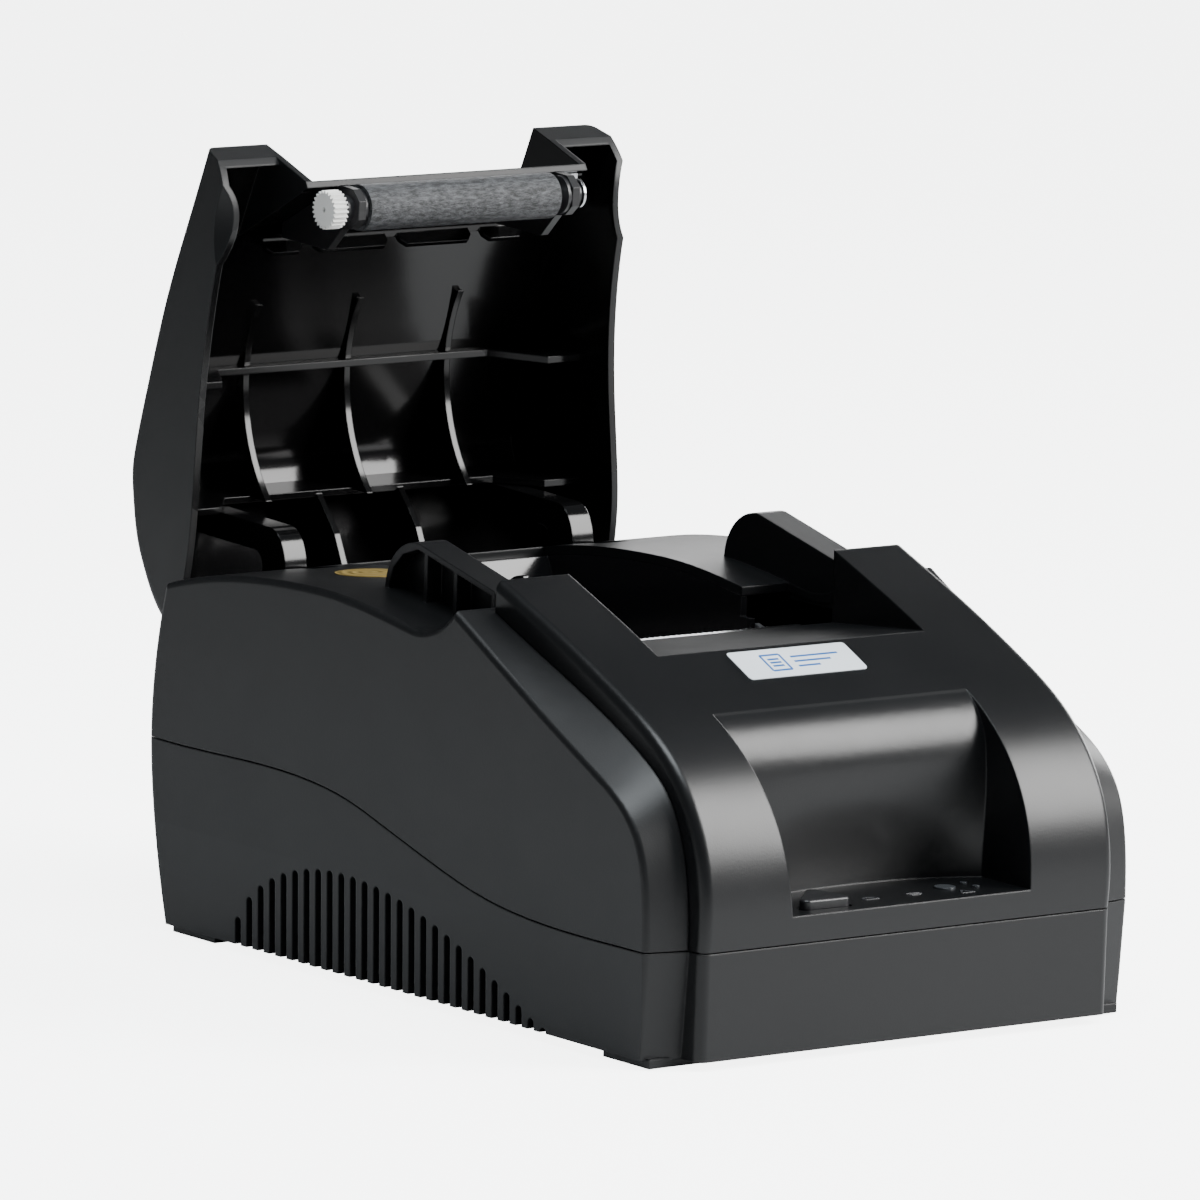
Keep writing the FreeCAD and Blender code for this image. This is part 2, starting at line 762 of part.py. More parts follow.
def make_mechanism_frame():
    thick = dim("sheet_steel")
    low_x = dim("side_plate_x")
    y, z = PLATEN
    slot = 3.3
    arc = [
        (y - slot * math.cos(a), z - slot * math.sin(a))
        for a in (math.pi * k / 8 for k in range(9))
    ]
    side = [(-18.2, 47), (1.5, 47), (1.5, 76), (y + slot + 2, 75.2), (y + slot + 1, 75.2)]
    side += arc[::-1]
    side += [(y - slot - 1, 75.2), (-14, 75.2), (-16, 76.2), (-18.2, 76.2)]
    plate = prism(polygon(side), low_x, low_x + thick)
    bar = block((-low_x, -18.2, 60), (low_x, -17.4, 76.2))
    floor = block((-low_x, -13, 47), (low_x, 1.5, 47 + thick))
    shape = plate.fuse([mirrored(plate), bar, floor])
    holes = [rod(0.9, (x, y_at, 40), (x, y_at, 50)) for x in (-28, 28) for y_at in (-9, -1)]
    holes.append(rod(1.0, (-40, *HEAD_PIVOT), (40, *HEAD_PIVOT)))
    holes.append(rod(1.2, (-40, *MOTOR_AXIS), (-20, *MOTOR_AXIS)))
    holes.append(rod(1.0, (-40, *IDLER_AXIS), (-20, *IDLER_AXIS)))
    node(feature("mechanism_frame", shape.cut(holes).removeSplitter()), "mechanism_frame")


HEAD_PIVOT = (-14.2, 58.0)
IDLER_ANGLE = math.radians(-60)
MESH_SLACK = 0.03


def mesh_distance(module, first, second):
    return module * (first + second) / 2 + MESH_SLACK


IDLER_REACH = mesh_distance(dim("fine_module"), dim("platen_teeth"), dim("small_teeth"))
IDLER_AXIS = (
    PLATEN[0] + IDLER_REACH * math.cos(IDLER_ANGLE),
    PLATEN[1] + IDLER_REACH * math.sin(IDLER_ANGLE),
)
MOTOR_REACH = mesh_distance(dim("wheel_module"), dim("wheel_teeth"), dim("small_teeth"))
MOTOR_AXIS = (IDLER_AXIS[0], IDLER_AXIS[1] - MOTOR_REACH)


def gear_outline(teeth, module, centre, tooth_at):
    """Involute teeth with a 25 degree pressure angle, one of them centred at an angle in radians."""
    pressure = math.radians(25)
    pitch = module * teeth / 2
    base = pitch * math.cos(pressure)
    tip = pitch + 0.9 * module
    root = pitch - 1.2 * module
    half_tooth = math.pi / (2 * teeth) - 0.04 * module / pitch

    def half_angle(radius):
        angle = math.acos(min(base / radius, 1))
        return half_tooth + (math.tan(pressure) - pressure) - (math.tan(angle) - angle)

    start = max(base, root)
    radii = [start, (2 * start + tip) / 3, (start + 2 * tip) / 3, tip]
    flank = [(r, half_angle(r)) for r in radii]
    if base > root:
        flank.insert(0, (root, half_angle(base)))
    points = []
    for k in range(teeth):
        middle = tooth_at + 2 * math.pi * k / teeth
        for radius, angle in flank:
            points.append((radius, middle - angle))
        for radius, angle in reversed(flank):
            points.append((radius, middle + angle))
    return [(centre[0] + r * math.cos(a), centre[1] + r * math.sin(a)) for r, a in points]


def make_gears():
    teeth = int(dim("platen_teeth"))
    small = int(dim("small_teeth"))
    wheel = int(dim("wheel_teeth"))
    gap = math.pi / small
    rim = gear_outline(teeth, dim("fine_module"), PLATEN, IDLER_ANGLE)
    closed_face = sketched("platen_gear_face", "YZ", -37.4, 1.1, rim, [(*PLATEN, 0.6)])
    toothed = sketched("platen_gear_teeth", "YZ", -36.3, 2.6, rim, [(*PLATEN, dim("shaft_r"))])
    lid_node(fuse("platen_gear_body", [closed_face, toothed]), "platen_gear")
    down = -math.pi / 2
    bore = dim("running_gap") + 1.0
    low = sketched(
        "idler_small", "YZ", -38, 5,
        gear_outline(small, dim("fine_module"), IDLER_AXIS, IDLER_ANGLE + math.pi + gap),
        [(*IDLER_AXIS, bore)],
    )
    high = sketched(
        "idler_wheel", "YZ", -40, 2,
        gear_outline(wheel, dim("wheel_module"), IDLER_AXIS, down), [(*IDLER_AXIS, bore)],
    )
    node(fuse("idler_gear", [low, high]), "idler_gear")
    pinion = sketched(
        "motor_pinion", "YZ", -40, 5.4,
        gear_outline(small, dim("wheel_module"), MOTOR_AXIS, down + math.pi + gap), [(*MOTOR_AXIS, 0.75)],
    )
    node(pinion, "motor_pinion")
    shaft = cylinder("motor_shaft", 0.75, 10, (-40.4, *MOTOR_AXIS), "X")
    node(shaft, "motor_shaft")
    post = cylinder("gear_post", 1.0, 9.6, (-40.8, *IDLER_AXIS), "X")
    clip = cylinder("gear_clip", 1.8, 0.5, (-40.7, *IDLER_AXIS), "X")
    node(fuse("gear_post_with_clip", [post, clip]), "gear_post")


def make_motor():
    can = rod(dim("motor_r"), (-31.2, *MOTOR_AXIS), (-17, *MOTOR_AXIS))
    can = can.cut(rod(0.9, (-32, *MOTOR_AXIS), (-25, *MOTOR_AXIS)))
    rear = rod(3, (-17, *MOTOR_AXIS), (-16, *MOTOR_AXIS))
    node(feature("feed_motor", can.fuse(rear)), "feed_motor")


def make_head():
    plate = block((-29, -15.4, 57), (29, -13, 76))
    lug = rod(2.2, (-29, *HEAD_PIVOT), (29, *HEAD_PIVOT))
    bore = rod(1.0 + dim("running_gap"), (-31, *HEAD_PIVOT), (31, *HEAD_PIVOT))
    node(feature("head_heatsink", plate.fuse(lug).cut(bore).removeSplitter()), "head_heatsink")
    node(box("print_head", (55, 0.8, 14), (-27.5, -13, 61.5)), "print_head")
    node(cylinder("head_pivot_pin", 1.0, 64.8, (-32.4, *HEAD_PIVOT), "X"), "head_pivot_pin")
    springs = []
    for x in (-16, 16):
        coil = cylinder("spring_outside", 2.2, 1.65, (x, -17.4, 68), "Y")
        hole = cylinder("spring_inside", 1.4, 1.65, (x, -17.4, 68), "Y")
        springs.append(cut("head_spring", coil, [hole]))
    node(group("head_springs", springs), "head_springs")
    node(box("paper_guide_plate", (62.4, 12.9, 1.2), (-31.2, -11.4, 64.6)), "paper_guide")
    node(box("paper_sensor", (6, 4, 4.6), (8, -6, 60)), "paper_sensor")
    node(box("lid_switch", (6, 9, 7), (32.4, -12, 60)), "lid_switch")
    ribbon = prism(polygon([
        (-14.8, 55.4), (-14.4, 55.4), (-14.4, 14.8), (12.6, 14.8),
        (12.6, 13.6), (12.2, 13.6), (12.2, 14.4), (-14.8, 14.4),
    ]), -12, 12)
    node(feature("head_ribbon", ribbon), "head_ribbon")


def make_tear_blade():
    """A steel strip with a toothed rear edge and a turned-down mounting flange."""
    half = 30
    pitch = 1.5
    teeth = int(2 * half / pitch)
    edge = []
    for k in range(teeth):
        x = half - k * pitch
        edge += [(x, -15.4), (x - pitch / 2, -14.5)]
    edge.append((-half, -15.4))
    strip = sketched("blade_strip", "XY", 77.6, 0.8, [(-half, -18.2), (half, -18.2)] + edge)
    flange = box("blade_flange", (2 * half, 0.8, 1.6), (-half, -18.2, 76.2))
    node(fuse("blade", [strip, flange]), "tear_blade")


# ---------------------------------------------------------------- lid, drawn closed


def lid_side(trim):
    """The tapering width of the lid: narrow at the front and the top."""
    def half_at(y, z):
        return 54.1 + 0.055 * (y + 18.4) + 0.18 * (95 - z) - trim

    def rectangle(z):
        corners = []
        for y, side in ((-40, -1), (-40, 1), (110, 1), (110, -1)):
            corners.append(Vector(side * half_at(y, z), y, z))
        return Part.makePolygon(corners + corners[:1])

    return Part.makeLoft([rectangle(60), rectangle(130)], True, True)


def lid_outside():
    """The lid's outside with its two long shoulders rounded."""
    tip_low = LID_RIM[-1]
    runs = [LID_TOP, LID_RIM, [tip_low, LID_TOP[0]]]
    solid = prism(runs, -80, 80).common(lid_side(0))
    shoulders = [e for e in solid.Edges if e.BoundBox.YLength > 60 and e.BoundBox.ZMax > 110]
    return solid.makeFillet(2.4, shoulders)


def lid_inside():
    wall = dim("lid_wall")
    top = inset(LID_TOP, wall)
    top[0] = (-16.4, top[0][1] + 0.4)
    rear_low = (top[-1][0], 60)
    front_low = (-6, 60)
    runs = [top, [top[-1], rear_low], [rear_low, front_low], [front_low, top[0]]]
    return prism(runs, -80, 80).common(lid_side(wall))


RAMP_LOW = (-12.4, 77.2)
RAMP_TOP = (2.6, 103.2)


def valley_wedge():
    """The space in front of the lid's sloping centre."""
    corners = [RAMP_LOW, RAMP_TOP, (4.5, 107), (-30, 107), (-30, 70), (RAMP_LOW[0] - 4, 70)]
    half = dim("lid_valley_half")
    return prism(polygon(corners), -half, half)


def ramp_plate():
    back = inset([RAMP_LOW, RAMP_TOP], 1.6)
    half = dim("lid_valley_half") + dim("lid_wall")
    return prism(polygon([RAMP_LOW, RAMP_TOP, back[1], back[0]]), -half, half)


def horn_cheek():
    """The inner wall of one horn."""
    corners = [(-17.6, 94.6), LID_RIM[-1], RAMP_LOW, (-9.5, 78.5), (5, 103.4), (0, 101.4)]
    low = dim("lid_valley_half")
    return prism(polygon(corners), low, low + dim("lid_wall"))


def finger_scoop(extra):
    """A ball that presses a finger scoop into one side wall at the rim; extra makes its backing."""
    return Part.makeSphere(dim("scoop_radius") + extra, Vector(dim("scoop_x"), -3.6, 73.6))


def make_lid_shell():
    outside = lid_outside()
    shell = outside.cut(lid_inside())
    shell = shell.cut(valley_wedge())
    backing = finger_scoop(1.5).common(outside)
    shell = shell.fuse([ramp_plate(), horn_cheek(), mirrored(horn_cheek()), backing, mirrored(backing)])
    scoop = finger_scoop(0)
    shell = shell.cut([scoop, mirrored(scoop)])
    lid_node(feature("lid_shell", shell.removeSplitter()), "lid_shell")


def cross_rib(y, thick, middle_z, end_z):
    """A rib across the lid with raised ends, as an XZ plate."""
    corners = [(-60, end_z), (-46, end_z), (-38, middle_z)]
    corners += [(-x, z) for x, z in corners[::-1]] + [(60, 130), (-60, 130)]
    at = [Vector(x, y, z) for x, z in corners]
    return Part.Face(Part.makePolygon(at + at[:1])).extrude(Vector(0, thick, 0))


def guide_tab(low_x, high_x):
    """A tilted lip with clipped corners that steers the paper onto the roller."""
    clip = 1.4
    corners = [(low_x, 1), (low_x, -2.8), (low_x + clip, -4.4)]
    corners += [(high_x - clip, -4.4), (high_x, -2.8), (high_x, 1)]
    at = [Vector(x, 3.8, 97.4 + z) for x, z in corners]
    tab = Part.Face(Part.makePolygon(at + at[:1])).extrude(Vector(0, 1.2, 0))
    tab.rotate(Vector(0, 3.8, 97.4), Vector(1, 0, 0), 42)
    return tab


def guide_wall():
    wall = block((-36, 3.8, 96.6), (36, 3.8 + dim("rib_thick"), 130))
    tabs = [guide_tab(low, high) for low, high in ((-36, -26), (-22.5, -2), (1.5, 21.5), (25, 36))]
    return wall.fuse(tabs)


def make_lid_frame():
    thick = dim("rib_thick")
    roll = rod(38.7, (-60, *ROLL), (60, *ROLL))
    long_rib = block((-thick / 2, 21, 94), (thick / 2, 65, 130)).cut(roll)
    ribs = []
    for x in (-28.4, 0, 28.4):
        rib = long_rib.copy()
        rib.translate(Vector(x, 0, 0))
        ribs.append(rib)
    edge = [(65, 103.7), (69, 99.6), (73, 96), (79.4, 92.6), (84, 92.6), (84, 130), (65, 130)]
    tail = prism(polygon(edge), 11.5 - thick / 2, 11.5 + thick / 2)
    ribs += [cross_rib(35.6, thick, 108.6, 95.8), cross_rib(64.2, thick, 103.7, 94.6)]
    ribs += [guide_wall(), tail, mirrored(tail)]
    frame = ribs[0].fuse(ribs[1:]).common(lid_inside())
    lid_node(feature("lid_ribs", frame.removeSplitter()), "lid_ribs")


def make_lid_arms():
    y, z = HINGE
    half = dim("arm_width") / 2
    runs = [
        [(66, 130), (66, 79)],
        [(66, 79), (67, 75.6), (70, 73.2), (74.5, 71.9), (80, 71.4)],
        [(80, 71.4), (83.4, 72.4), (85.4, 76), (83.6, 79.4), (80, 80.6)],
        [(80, 80.6), (75.6, 80.6)],
        [(75.6, 80.6), (73, 81.6), (72, 84)],
        [(72, 84), (72, 130)],
        [(72, 130), (66, 130)],
    ]
    arm = prism(runs, dim("arm_x") - half, dim("arm_x") + half).common(lid_inside())
    arm = arm.cut(rod(dim("hinge_pin_r") + dim("running_gap"), (30, y, z), (50, y, z)))
    lid_node(feature("lid_arms", Part.makeCompound([arm, mirrored(arm)])), "lid_arms")


def make_hinge():
    y, z = HINGE
    half = dim("arm_width") / 2 + 0.8
    brackets, pins = [], []
    for _, side in SIDES:
        x = side * dim("arm_x")
        lug_low = block((x - half - 2, 76, 66), (x - half, 86, 79.2))
        lug_high = block((x + half, 76, 66), (x + half + 2, 86, 79.2))
        web = block((x - half - 2, 76, 66), (x + half + 2, 86, 68))
        bore = rod(dim("hinge_pin_r"), (x - 8, y, z), (x + 8, y, z))
        yoke = lug_low.fuse([lug_high, web]).cut(bore).common(core_cavity())
        brackets.append(yoke.removeSplitter())
        pins.append(rod(dim("hinge_pin_r"), (x - half - 2, y, z), (x + half + 2, y, z)))
    node(feature("hinge_brackets", Part.makeCompound(brackets)), "hinge_brackets")
    node(feature("hinge_pins", Part.makeCompound(pins)), "hinge_pins")


def make_platen():
    y, z = PLATEN
    shaft = dim("shaft_r")
    half = dim("platen_half")
    steel = cylinder("shaft_bar", "Dims.shaft_r", 70.3, (-36.3, y, z), "X")
    lid_node(group("platen_shaft", [steel]), "platen_shaft")
    roller = cut(
        "platen_tube",
        cylinder(
            "roller_outside", "Dims.platen_r", "2 * Dims.platen_half",
            ("Dims.platen_offset - Dims.platen_half", y, z), "X",
        ),
        [cylinder("roller_bore", "Dims.shaft_r", 60, (-30, y, z), "X")],
    )
    lid_node(roller, "platen_rubber")
    clip = rod(3.4, (33.2, y, z), (33.8, y, z)).cut(rod(shaft, (33, y, z), (34, y, z)))
    lid_node(feature("platen_clip", clip), "platen_clip")
    bushes, arms = [], []
    for _, side in SIDES:
        flange = rod(4.4, (side * (half + 1.4), y, z), (side * 31, y, z))
        nose = rod(dim("bush_r"), (side * 31, y, z), (side * 32.8, y, z))
        bore = rod(shaft + dim("running_gap"), (side * 25, y, z), (side * 35, y, z))
        bushes.append(flange.fuse(nose).cut(bore).removeSplitter())
        arm = prism(polygon([
            (-11.2, 70.5), (-11.4, 75.5), (-9.6, 79), (0, 96.4), (3.8, 96.4),
            (3.8, 79), (-1.6, 74), (-2.2, 70.5), (-4.6, 68), (-8.8, 68),
        ]), side * 29.0, side * 31.0)
        arms.append(arm.cut([rod(4.4, (side * 25, y, z), (side * 35, y, z)), ramp_plate()]))
    lid_node(feature("platen_bushes", Part.makeCompound(bushes)), "platen_bushes")
    lid_node(feature("platen_arms", Part.makeCompound(arms)), "platen_arms")
    plate = block((31.0, -10.2, 77.4), (37.4, -4.6, 78.2))
    plate = plate.fuse(block((36.6, -10.2, 77.4), (37.4, -4.6, 84)))
    plate = plate.cut(ramp_plate()).removeSplitter()
    plate = max(plate.Solids, key=lambda solid: solid.Volume)
    lid_node(feature("platen_bracket", plate), "platen_bracket")


def make_latch_plate():
    """A quarter-round plate beside the left ear that guides the lid's horn."""
    fan = prism([
        [(-10, 80), (-2, 80)],
        [(-2, 80), (-2.8, 88), (-6, 92.5), (-10.5, 93.8)],
        [(-10.5, 93.8), (-12.4, 89)],
        [(-12.4, 89), (-10, 80)],
    ], -43.4, -42)
    node(feature("latch_plate", fan), "latch_plate")


# ---------------------------------------------------------------- build, check, write


def build_all():
    make_base_shell()
    make_upper_shell()
    make_front_panel()
    make_bucket()
    make_labels()
    make_feet_and_screws()
    make_button()
    make_boards()
    make_sockets()
    make_power_switch()
    make_mechanism_frame()
    make_gears()
    make_motor()
    make_head()
    make_tear_blade()
    make_latch_plate()
    make_hinge()
    make_lid_shell()
    make_lid_frame()
    make_lid_arms()
    make_platen()
    doc.recompute()


def check_all():
    for item in doc.Objects:
        if "Invalid" in item.State or "Error" in item.State:
            raise RuntimeError(f"{item.Label} did not compute: {item.State}")
    for name, item in nodes.items():
        shape = item.Shape
        if shape.isNull() or not shape.isValid() or not shape.Solids:
            raise RuntimeError(f"{name} is not a valid solid")


def write_all():
    os.makedirs("parts", exist_ok=True)
    for name, item in nodes.items():
        item.Shape.exportStep(f"parts/{name}.step")
        print(name, len(item.Shape.Solids), round(item.Shape.Volume, 1))


build_all()
check_all()
write_all()
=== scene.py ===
"""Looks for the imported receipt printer: camera, studio, materials and small surface detail."""
import math

import bmesh
import bpy
from mathutils import Matrix, Vector


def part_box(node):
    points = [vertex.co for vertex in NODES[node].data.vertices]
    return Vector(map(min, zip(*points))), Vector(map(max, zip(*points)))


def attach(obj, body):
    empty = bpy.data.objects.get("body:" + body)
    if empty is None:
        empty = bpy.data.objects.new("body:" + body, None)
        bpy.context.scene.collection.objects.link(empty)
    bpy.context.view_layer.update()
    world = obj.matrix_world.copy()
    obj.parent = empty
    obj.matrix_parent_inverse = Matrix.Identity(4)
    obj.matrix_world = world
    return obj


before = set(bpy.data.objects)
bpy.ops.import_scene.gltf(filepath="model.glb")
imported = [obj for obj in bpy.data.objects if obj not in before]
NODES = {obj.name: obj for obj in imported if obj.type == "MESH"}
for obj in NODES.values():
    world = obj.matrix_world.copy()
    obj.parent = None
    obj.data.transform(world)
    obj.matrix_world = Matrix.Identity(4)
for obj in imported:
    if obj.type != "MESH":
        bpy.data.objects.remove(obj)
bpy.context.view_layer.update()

MM = 0.001


# ---------------------------------------------------------------- material helpers


def new_material(name):
    material = bpy.data.materials.new(name)
    material.use_nodes = True
    tree = material.node_tree
    return material, tree, tree.nodes["Principled BSDF"]


def set_inputs(node, **values):
    for label, value in values.items():
        node.inputs[label.replace("_", " ")].default_value = value


def add(tree, kind, **inputs):
    made = tree.nodes.new(kind)
    set_inputs(made, **inputs)
    return made


def link(tree, source, output, target, socket):
    tree.links.new(source.outputs[output], target.inputs[socket])


def noise(tree, scale, detail, rough):
    """Noise fixed to the object, with its scale in waves per metre."""
    where = tree.nodes.new("ShaderNodeTexCoord")
    made = add(tree, "ShaderNodeTexNoise", Scale=scale, Detail=detail, Roughness=rough)
    link(tree, where, "Object", made, "Vector")
    return made


def stretched(tree, **mapping):
    """Object coordinates after a shift or a stretch."""
    where = tree.nodes.new("ShaderNodeTexCoord")
    made = add(tree, "ShaderNodeMapping", **mapping)
    link(tree, where, "Object", made, "Vector")
    return made


def spread(tree, source, low, high):
    """Map a 0 to 1 value onto low to high."""
    made = add(tree, "ShaderNodeMapRange", To_Min=low, To_Max=high)
    link(tree, source, 0, made, "Value")
    return made


def blend(tree, shader, factor, dark, light):
    """Colour the surface between two tones."""
    mix = tree.nodes.new("ShaderNodeMix")
    mix.data_type = "RGBA"
    set_inputs(mix, A=(*dark, 1), B=(*light, 1))
    link(tree, factor, 0, mix, "Factor")
    link(tree, mix, "Result", shader, "Base Color")


def soft_bump(tree, shader, height, strength, distance, edge=0.0):
    """Raise the surface a little by a height value, and round the edges when edge is given."""
    bump = add(tree, "ShaderNodeBump", Strength=strength, Distance=distance)
    link(tree, height, 0, bump, "Height")
    if edge:
        bevel = add(tree, "ShaderNodeBevel", Radius=edge)
        bevel.samples = 4
        link(tree, bevel, "Normal", bump, "Normal")
    link(tree, bump, "Normal", shader, "Normal")


def use(material, names):
    """Give CAD nodes a material."""
    for name in names:
        node = NODES[name]
        if not node.material_slots:
            node.data.materials.append(material)
        for slot in node.material_slots:
            slot.material = material


def use_by_face(name, materials, pick):
    """Give a CAD node several materials, and each face the one whose number pick returns."""
    mesh = NODES[name].data
    mesh.materials.clear()
    for material in materials:
        mesh.materials.append(material)
    for polygon in mesh.polygons:
        polygon.material_index = pick(polygon)


# ---------------------------------------------------------------- camera and studio

VIEW_AZIMUTH = math.radians(-37.91)
PRINTER_MIDDLE = Vector((0, 0, 0.08))

# name, place, size, watts, colour
LIGHT_CARDS = [
    ("key", (1.04, -0.98, 0.88), (0.8, 1.0), 48, (1.0, 0.995, 0.985)),
    ("overhead", (-0.12, -0.32, 1.7), (1.1, 0.6), 24, (0.9, 0.96, 1.0)),
    ("far_wall", (1.6, 2.05, 0.8), (1.6, 0.6), 15, (1.0, 1.0, 1.0)),
    ("right_wall", (1.85, 0.6, 0.5), (0.7, 0.8), 18, (1.0, 1.0, 1.0)),
]
WORLD_COLOUR = (0.9, 0.95, 1.0, 1)
WORLD_STRENGTH = 0.16


def make_camera():
    """A long lens from the front left, a little above the printer."""
    elevation = math.radians(9.28)
    roll = math.radians(1.90)
    place = Vector((-1.60174, -2.03902, 0.50707))
    focal_px = 11900.5
    image_px = 1200
    sensor_mm = 36.0

    back = Vector((
        math.sin(VIEW_AZIMUTH) * math.cos(elevation),
        -math.cos(VIEW_AZIMUTH) * math.cos(elevation),
        math.sin(elevation),
    ))
    level_right = (-back).cross(Vector((0, 0, 1))).normalized()
    level_up = level_right.cross(-back)
    right = level_right * math.cos(roll) + level_up * math.sin(roll)
    up = level_up * math.cos(roll) - level_right * math.sin(roll)

    data = bpy.data.cameras.new("camera")
    data.sensor_width = sensor_mm
    data.lens = sensor_mm * focal_px / image_px
    data.clip_end = 50
    camera = bpy.data.objects.new("camera", data)
    bpy.context.scene.collection.objects.link(camera)
    turn = Matrix((right, up, back)).transposed().to_4x4()
    camera.matrix_world = Matrix.Translation(place) @ turn
    bpy.context.scene.camera = camera


def make_floor():
    """A plain pale sweep: level under the printer and curving up far behind it."""
    half_width = 6.0
    front, flat_back, top = -4.0, 3.2, 6.0
    radius = 1.6
    steps = 12
    line = [(front, 0.0), (flat_back, 0.0)]
    for step in range(1, steps + 1):
        angle = math.radians(90) * step / steps
        line.append((flat_back + radius * math.sin(angle), radius - radius * math.cos(angle)))
    line.append((flat_back + radius, top))

    bm = bmesh.new()
    rows = [[bm.verts.new((x, y, z)) for x in (-half_width, half_width)] for y, z in line]
    for low, high in zip(rows, rows[1:]):
        bm.faces.new((low[0], low[1], high[1], high[0]))
    mesh = bpy.data.meshes.new("studio_floor")
    bm.to_mesh(mesh)
    bm.free()
    for polygon in mesh.polygons:
        polygon.use_smooth = True
    floor = bpy.data.objects.new("studio_floor", mesh)
    bpy.context.scene.collection.objects.link(floor)
    floor.rotation_euler.z = VIEW_AZIMUTH
    mesh.materials.append(studio_paper())


def studio_paper():
    """White paper that lights the printer most from close by, and always looks white itself."""
    near, far = 0.2, 1.4
    near_tone, far_tone = 0.9, 0.3
    seen_glow = 5.2
    paint, tree, shader = new_material("studio_paper")
    set_inputs(shader, Roughness=0.9, Specular_IOR_Level=0.1, Emission_Color=(0.985, 1.0, 0.995, 1))
    where = tree.nodes.new("ShaderNodeNewGeometry")
    reach = tree.nodes.new("ShaderNodeVectorMath")
    reach.operation = "LENGTH"
    link(tree, where, "Position", reach, 0)
    fade = add(
        tree, "ShaderNodeMapRange",
        From_Min=near, From_Max=far, To_Min=near_tone, To_Max=far_tone,
    )
    link(tree, reach, "Value", fade, "Value")
    link(tree, fade, "Result", shader, "Base Color")
    rays = tree.nodes.new("ShaderNodeLightPath")
    lift = tree.nodes.new("ShaderNodeMath")
    lift.operation = "MULTIPLY"
    lift.inputs[1].default_value = seen_glow
    link(tree, rays, "Is Camera Ray", lift, 0)
    link(tree, lift, "Value", shader, "Emission Strength")
    return paint


def light_card(name, place, size, watts, colour):
    """A soft light panel aimed at the printer, which lights and reflects but never shows."""
    data = bpy.data.lights.new(name, "AREA")
    data.shape = "RECTANGLE"
    data.size, data.size_y = size
    data.energy = watts
    data.color = colour
    light = bpy.data.objects.new(name, data)
    bpy.context.scene.collection.objects.link(light)
    light.location = place
    aim = PRINTER_MIDDLE - Vector(place)
    light.rotation_euler = aim.to_track_quat("-Z", "Y").to_euler()
    light.visible_camera = False


def make_lights():
    world = bpy.data.worlds.new("studio")
    bpy.context.scene.world = world
    world.use_nodes = True
    background = world.node_tree.nodes["Background"]
    set_inputs(background, Color=WORLD_COLOUR, Strength=WORLD_STRENGTH)
    for row in LIGHT_CARDS:
        light_card(*row)


# ---------------------------------------------------------------- plastics

# name: (colour, roughness, grain in mm, grain depth, edge radius in mm, specular), nodes
PLASTICS = {
    "case_plastic": (
        ((0.0065, 0.0068, 0.0075), 0.38, 0.35, 0.35, 0.5, 0.4),
        ("base_shell", "upper_shell"),
    ),
    "bucket_plastic": (
        ((0.008, 0.008, 0.009), 0.16, 0.6, 0.05, 0.4, 0.5),
        ("paper_bucket", "latch_plate"),
    ),
    "button_plastic": (
        ((0.014, 0.0145, 0.016), 0.3, 0.4, 0.1, 0.3, 0.5),
        ("feed_button",),
    ),
    "inner_plastic": (
        ((0.012, 0.012, 0.013), 0.4, 0.4, 0.2, 0.3, 0.45),
        ("paper_guide", "paper_sensor", "lid_switch", "platen_arms", "usb_socket",
         "drawer_socket", "power_jack", "switch_frame", "feed_switch"),
    ),
    "rocker_plastic": (
        ((0.016, 0.016, 0.017), 0.28, 0.5, 0.1, 0.3, 0.5),
        ("power_rocker",),
    ),
    "foot_rubber": (
        ((0.012, 0.012, 0.012), 0.8, 0.5, 0.5, 0.3, 0.3),
        ("rubber_feet",),
    ),
    "head_ceramic": (
        ((0.55, 0.52, 0.46), 0.25, 0.3, 0.1, 0.1, 0.5),
        ("print_head",),
    ),
    "white_acetal": (
        ((0.93, 0.925, 0.9), 0.38, 0.3, 0.1, 0.12, 0.5),
        ("platen_gear", "idler_gear", "motor_pinion", "usb_tongue"),
    ),
    "bush_acetal": (
        ((0.02, 0.02, 0.022), 0.35, 0.3, 0.1, 0.15, 0.5),
        ("platen_bushes",),
    ),
    "ribbon_film": (
        ((0.7, 0.7, 0.68), 0.3, 1.0, 0.05, 0.1, 0.5),
        ("head_ribbon",),
    ),
    "board_mask": (
        ((0.012, 0.09, 0.035), 0.3, 0.8, 0.1, 0.1, 0.5),
        ("main_board", "panel_board"),
    ),
    "board_chips": (
        ((0.02, 0.02, 0.022), 0.5, 0.4, 0.2, 0.2, 0.4),
        ("board_parts",),
    ),
    "label_paper": (
        ((0.82, 0.88, 0.93), 0.35, 0.2, 0.05, 0.1, 0.5),
        ("badge_label", "rating_label"),
    ),
    "lamp_lens": (
        ((0.05, 0.055, 0.06), 0.12, 1.0, 0.02, 0.2, 0.6),
        ("indicator_lenses",),
    ),
}


def moulded(name, colour, rough, grain_mm, grain, edge_mm, specular):
    """Moulded plastic: a fine tool texture, slight tone and gloss variation, rounded edges."""
    tone_swing = 0.15
    gloss_swing = 0.1
    grain_height = 0.05 * MM
    material, tree, shader = new_material(name)
    tone = noise(tree, 22.0, 3.0, 0.5)
    dark = [c * (1 - tone_swing) for c in colour]
    light = [c * (1 + tone_swing) for c in colour]
    blend(tree, shader, tone, dark, light)
    patches = noise(tree, 60.0, 4.0, 0.6)
    gloss = spread(tree, patches, rough * (1 - gloss_swing), rough * (1 + gloss_swing))
    link(tree, gloss, 0, shader, "Roughness")
    fine = noise(tree, 1.0 / (grain_mm * MM), 2.0, 0.6)
    soft_bump(tree, shader, fine, grain, grain_height, edge_mm * MM)
    set_inputs(shader, Specular_IOR_Level=specular)
    return material


